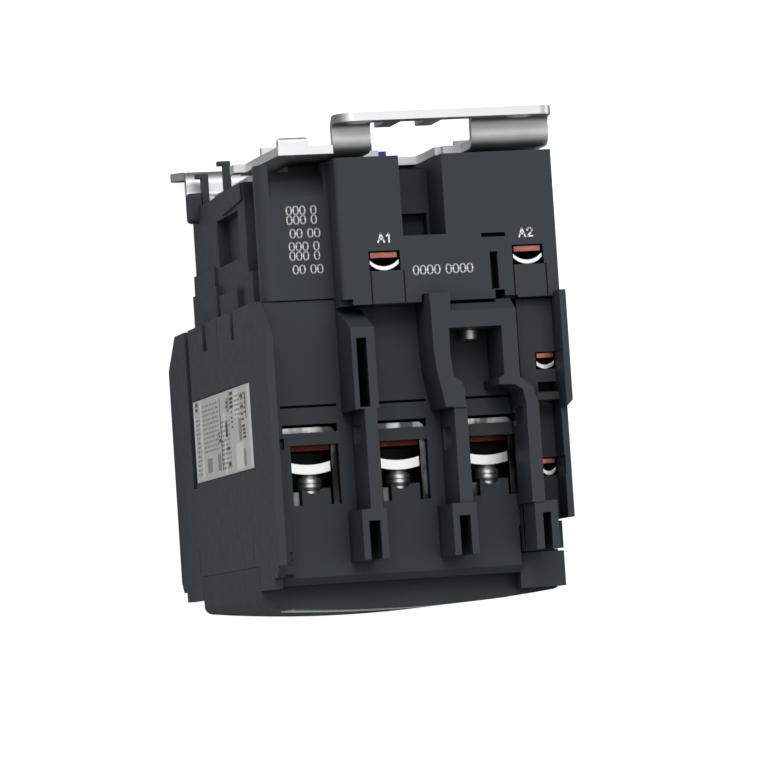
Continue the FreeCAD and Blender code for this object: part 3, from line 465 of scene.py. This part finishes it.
def springs(name, node, body, travel, axis, places, radius, wire, turns):
    """Springs in place of a CAD node, riding with their body.

    places are X, Y and Z of each spring's axis, in millimetres; the one along axis isn't used. travel is
    not used."""
    low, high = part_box(node)
    way = Vector([1.0 if i == axis else 0.0 for i in range(3)])
    wire, radius, travel = wire * MM, radius * MM, travel * MM
    free = high[axis] - low[axis]
    verts, faces = [], []
    for place in places:
        start = Vector([p * MM for p in place])
        start[axis] = low[axis] + wire
        add_coil(verts, faces, start, way, free - 2 * wire, radius, wire, turns)
    mesh = bpy.data.meshes.new(name)
    mesh.from_pydata(verts, [], faces)
    mesh.validate()
    mesh.shade_smooth()
    obj = bpy.data.objects.new(name, mesh)
    bpy.context.scene.collection.objects.link(obj)
    mesh.materials.append(WIRE)
    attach(obj, body)
    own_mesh(obj)
    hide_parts(node)


springs("return_coils", "return_springs", "frame", travel=5.6,
        axis=Y_AXIS, places=[(-11.5, 0, 0), (11.5, 0, 0)], radius=2.5, wire=0.4, turns=6)
springs("contact_coils", "contact_springs", "carrier", travel=1.85,
        axis=Y_AXIS, places=[(-24.6, 0, 0), (-2.4, 0, 0), (19.8, 0, 0)], radius=3.0, wire=0.5, turns=5)
springs("latch_coil", "latch_spring", "frame", travel=3.1,
        axis=Z_AXIS, places=[(-5.0, -5.0, 0)], radius=1.2, wire=0.3, turns=6)


# ---------------------------------------------------------------- marks and labels

def join_quads(name, quads, depth, material):
    """One mesh of thin blocks: each quad is four corners, extruded by the vector depth."""
    verts, faces = [], []
    for quad in quads:
        n = len(quad)
        first = len(verts)
        verts += [Vector(p) for p in quad] + [Vector(p) + depth for p in quad]
        faces.append([first + i for i in range(n)][::-1])
        faces.append([first + n + i for i in range(n)])
        for i in range(n):
            j = (i + 1) % n
            faces.append([first + i, first + j, first + n + j, first + n + i])
    mesh = bpy.data.meshes.new(name)
    mesh.from_pydata(verts, [], faces)
    mesh.update()
    mesh.validate()
    obj = bpy.data.objects.new(name, mesh)
    bpy.context.scene.collection.objects.link(obj)
    obj.data.materials.append(material)
    return obj


# Strokes of the standard terminal marks and of a blank digit, in a box 1 high: lists of points.
STROKES = {"A": [[(0.0, 0.0), (0.36, 1.0), (0.72, 0.0)], [(0.14, 0.36), (0.58, 0.36)]],
           "1": [[(0.10, 0.72), (0.36, 1.0), (0.36, 0.0)]],
           "2": [[(0.04, 0.74), (0.12, 0.94), (0.34, 1.0), (0.56, 0.92), (0.62, 0.72), (0.52, 0.5),
                  (0.04, 0.04), (0.64, 0.04)]],
           "0": [[(0.0, 0.28), (0.0, 0.74), (0.12, 0.96), (0.3, 1.0), (0.48, 0.96), (0.6, 0.74),
                  (0.6, 0.28), (0.48, 0.04), (0.3, 0.0), (0.12, 0.04), (0.0, 0.28)]],
           " ": []}
ADVANCE = {"A": 0.95, "1": 0.66, "2": 0.8, "0": 0.84, " ": 0.52}

STROKE_OVERRUN = 0.8         # strokes run past their points by this share of half their width

# Terminal marks, and rows of blank digits: text, then X and Y of its lower left corner, in millimetres.
TERMINAL_MARKS = (("mark_a1", "A1", -6.9, -31.1), ("mark_a2", "A2", 28.3, -31.3))
RATING_ROWS = (("000 0", -27.0, -22.6), ("000 0", -27.0, -24.9), ("00 00", -26.4, -28.2),
               ("000 0", -26.8, -31.4), ("000 0", -26.8, -33.7), ("00 00", -26.2, -37.0))
TYPE_ROW = ("0000 0000", 1.4, -39.3)
MARK_SIZE = (2.1, 0.36)      # letter height and stroke width
RATING_SIZE = (2.0, 0.3)
TYPE_SIZE = (2.1, 0.3)


def strokes_as_quads(text, x, y, height, width):
    """Stroke letters as flat quads in the XY plane, in millimetres, read with +Y up."""
    quads = []
    for letter in text:
        for line in STROKES[letter]:
            for (x0, y0), (x1, y1) in zip(line, line[1:]):
                a = Vector((x + x0 * height, y + y0 * height))
                b = Vector((x + x1 * height, y + y1 * height))
                way = (b - a).normalized() * width / 2
                side = Vector((-way.y, way.x))
                a, b = a - way * STROKE_OVERRUN, b + way * STROKE_OVERRUN
                quads.append([a + side, a - side, b - side, b + side])
        x += ADVANCE[letter] * height
    return quads


def print_marks(name, quads, z, material, body):
    """Flat quads (mm, XY) as a thin print on a face at height z."""
    raised = [[(p[0] * MM, p[1] * MM, z * MM) for p in quad] for quad in quads]
    obj = join_quads(name, raised, Vector((0, 0, PRINT * MM)), material)
    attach(obj, body)


def end_marks():
    """Standard terminal marks, and rows of blank digits where the ratings are printed."""
    for name, text, x, y in TERMINAL_MARKS:
        print_marks(name, strokes_as_quads(text, x, y, *MARK_SIZE), END_Z, PALE_INK, "frame")
    rows = []
    for text, x, y in RATING_ROWS:
        rows += strokes_as_quads(text, x, y, *RATING_SIZE)
    print_marks("coil_rating_rows", rows, LEFT_FACE_Z, PALE_INK, "frame")
    print_marks("type_row", strokes_as_quads(*TYPE_ROW, *TYPE_SIZE), END_Z, PALE_INK, "frame")


def side_bars(spans):
    """Blocks on the left face of the rating label; each span is (y, z, height along y, width along z)."""
    x = LABEL_FACE_X * MM
    return [[(x, y * MM, z * MM), (x, y * MM, (z + w) * MM), (x, (y - h) * MM, (z + w) * MM),
             (x, (y - h) * MM, z * MM)] for y, z, h, w in spans]


# Rules, columns and short marks on the rating label, as spans.
LABEL_RULES = [(-62.6, -32.6, 20.0, 1.2), (-62.6, -24.6, 20.0, 1.6), (-62.5, 37.6, 20.2, 2.6),
               (-67.6, 5.0, 15.0, 2.6), (-76.0, 20.0, 6.4, 9.0), (-63.0, 19.5, 6.5, 6.0)]
LABEL_COLUMNS = [(-77.6, -18.0, 3.6, 6.0), (-77.0, -4.0, 4.4, 4.0), (-64.0, 10.6, 3.6, 3.0),
                 (-70.0, 24.8, 5.5, 3.6), (-64.0, 33.6, 6.4, 1.6), (-77.6, 29.0, 4.2, 3.0),
                 (-63.4, 1.2, 18.0, 1.4)]
LABEL_MARKS = [(-62.8, -30.4, 0.9, 3.2), (-64.1, -30.4, 0.8, 2.6), (-62.9, 15.0, 0.7, 4.2),
               (-64.2, 14.6, 0.7, 4.4), (-65.2, 14.8, 0.6, 3.8), (-66.2, 14.6, 0.7, 4.2),
               (-64.8, 9.8, 0.6, 2.0), (-65.9, 9.6, 0.5, 1.8), (-70.0, 8.2, 3.6, 2.2),
               (-76.1, 9.0, 0.8, 3.0), (-80.0, 9.6, 0.9, 3.2), (-67.6, 15.8, 0.4, 1.4),
               (-69.0, 15.8, 0.5, 1.6), (-70.1, 16.0, 0.5, 1.6), (-71.3, 16.0, 0.5, 1.6),
               (-64.4, 28.0, 0.7, 3.0), (-67.0, 28.4, 0.6, 3.0), (-69.0, 29.0, 0.4, 2.2),
               (-70.2, 29.0, 0.5, 2.6), (-71.8, 29.4, 0.6, 3.0), (-72.8, 29.6, 0.5, 3.0),
               (-73.7, 29.8, 0.5, 3.2), (-74.6, 30.0, 0.6, 3.2), (-71.8, -1.6, 0.5, 1.6),
               (-73.6, -1.2, 0.8, 2.2), (-72.7, -1.4, 0.4, 1.6), (-74.4, 3.2, 0.4, 1.4)]

# Blocks of blank text rows on the rating label: z range, then y range from its rear edge to its front.
TEXT_BLOCKS = ((-21.0, -1.0, -64.0, -76.4), (1.8, 13.4, -69.4, -81.0), (20.6, 34.6, -64.0, -69.0),
               (-30.6, -25.4, -67.0, -81.0))
TEXT_SEED = 5
TEXT_ROW_STEP = 1.15
TEXT_ROW_HEIGHT = 0.5
WORD_WIDTH = (1.2, 4.2)
WORD_GAP = (0.5, 1.4)


def text_rows():
    """Rows of short bars, of uneven length, that fill the text blocks."""
    draw = random.Random(TEXT_SEED)
    spans = []
    for z0, z1, y0, y1 in TEXT_BLOCKS:
        y = y0
        while y > y1:
            z = z0
            while z < z1:
                width = draw.uniform(*WORD_WIDTH)
                spans.append((y, z, TEXT_ROW_HEIGHT, min(width, z1 - z)))
                z += width + draw.uniform(*WORD_GAP)
            y -= TEXT_ROW_STEP
    return spans


def rating_print():
    """Generic print on the rating label: bright rules, grey columns and short dark marks."""
    for name, spans, material, thick in (("label_rules", LABEL_RULES, RULE_INK, 0.02),
                                         ("label_columns", LABEL_COLUMNS + text_rows(), GREY_INK, 0.03),
                                         ("label_marks", LABEL_MARKS, DARK_INK, 0.05)):
        obj = join_quads(name, side_bars(spans), Vector((-thick * MM, 0, 0)), material)
        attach(obj, "frame")


end_marks()
rating_print()


# ---------------------------------------------------------------- camera, light, floor

CAMERA_PLACE = (-0.27903, -0.13510, 1.22930)     # metres
CAMERA_TURN = (4.2293, -12.7465, -3.8637)        # degrees about X, then Y, then Z
CAMERA_LENS = 236.842                            # on a sensor as wide as SENSOR
SENSOR = 36.0
LIT_POINT = (0, -0.06, 0)                        # about the middle of the object, in metres
LIGHT_SIDE = 0.8
# Name, place in metres and power in watts.
LIGHTS = (("key", (-0.25, 0.75, 1.35), 11), ("left_fill", (-1.4, 0.45, 0.5), 1.7),
          ("right_fill", (1.5, 0.1, 0.12), 9), ("softbox", (0.42, 0.10, 1.75), 1.9))
FLOOR_HALF = 6.0                                 # metres
FLOOR_GLOW = 0.85
SKY_WAY = (-0.12, 0.48, 0.87)                    # towards the brightest part of the sky
SKY_STOPS = ((0.36, 0.08), (0.93, 1.0))          # (0 opposite SKY_WAY to 1 towards it, grey)
SKY_STRENGTH = 0.9


def make_camera():
    """Long lens high above the upper end, a little to the left and in front."""
    camera = bpy.data.objects.new("camera", bpy.data.cameras.new("camera"))
    bpy.context.scene.collection.objects.link(camera)
    camera.data.lens = CAMERA_LENS
    camera.data.sensor_width = SENSOR
    camera.data.clip_start = 0.05
    camera.data.clip_end = 20.0
    turn = Euler([math.radians(angle) for angle in CAMERA_TURN])
    camera.matrix_world = Matrix.LocRotScale(Vector(CAMERA_PLACE), turn, None)
    bpy.context.scene.camera = camera


def area_light(name, place, power):
    """Square lamp that faces the object."""
    data = bpy.data.lights.new(name, "AREA")
    data.shape = "SQUARE"
    data.size = LIGHT_SIDE
    data.energy = power
    lamp = bpy.data.objects.new(name, data)
    bpy.context.scene.collection.objects.link(lamp)
    lamp.location = place
    lamp.rotation_mode = "QUATERNION"
    lamp.rotation_quaternion = (Vector(LIT_POINT) - Vector(place)).to_track_quat("-Z", "Y")


def make_floor():
    """Pale paper. Its glow is for the camera alone: it keeps the ground near white and lights nothing."""
    low = CAD_BOX[0].z - FLOOR_DROP * MM
    mesh = bpy.data.meshes.new("floor")
    corners = [(x * FLOOR_HALF, y * FLOOR_HALF, low) for x, y in ((-1, -1), (1, -1), (1, 1), (-1, 1))]
    mesh.from_pydata(corners, [], [(0, 1, 2, 3)])
    floor = bpy.data.objects.new("floor", mesh)
    bpy.context.scene.collection.objects.link(floor)
    m = Tree("floor_paper")
    m.put(rough=0.9, specular=0.1)
    m.link(m.ramp(m.noise(scale=3, detail=2), [(0.3, 0.40), (0.7, 0.42)]), m.shader.inputs["Base Color"])
    m.shader.inputs["Emission Color"].default_value = (1, 1, 1, 1)
    seen = m.add("ShaderNodeLightPath").outputs["Is Camera Ray"]
    m.link(m.math("MULTIPLY", seen, FLOOR_GLOW), m.shader.inputs["Emission Strength"])
    floor.data.materials.append(m.mat)


def make_world():
    """Soft studio: brightest above and a little behind the object, dark below and in front."""
    world = bpy.data.worlds.new("studio")
    world.use_nodes = True
    tree = world.node_tree
    background = tree.nodes["Background"]
    place = tree.nodes.new("ShaderNodeTexCoord")
    way = tree.nodes.new("ShaderNodeVectorMath")
    way.operation = "DOT_PRODUCT"
    way.inputs[1].default_value = Vector(SKY_WAY).normalized()
    ramp = tree.nodes.new("ShaderNodeValToRGB")
    stops = ramp.color_ramp.elements
    for stop, (position, grey) in zip(stops, SKY_STOPS):
        stop.position = position
        stop.color = (grey, grey, grey, 1)
    share = tree.nodes.new("ShaderNodeMath")
    share.operation = "MULTIPLY_ADD"
    share.inputs[1].default_value = 0.5
    share.inputs[2].default_value = 0.5
    tree.links.new(place.outputs["Generated"], way.inputs[0])
    tree.links.new(way.outputs["Value"], share.inputs[0])
    tree.links.new(share.outputs[0], ramp.inputs["Fac"])
    tree.links.new(ramp.outputs["Color"], background.inputs["Color"])
    background.inputs["Strength"].default_value = SKY_STRENGTH
    bpy.context.scene.world = world


make_camera()
make_world()
make_floor()
for light in LIGHTS:
    area_light(*light)
bpy.context.scene.view_settings.view_transform = "Standard"
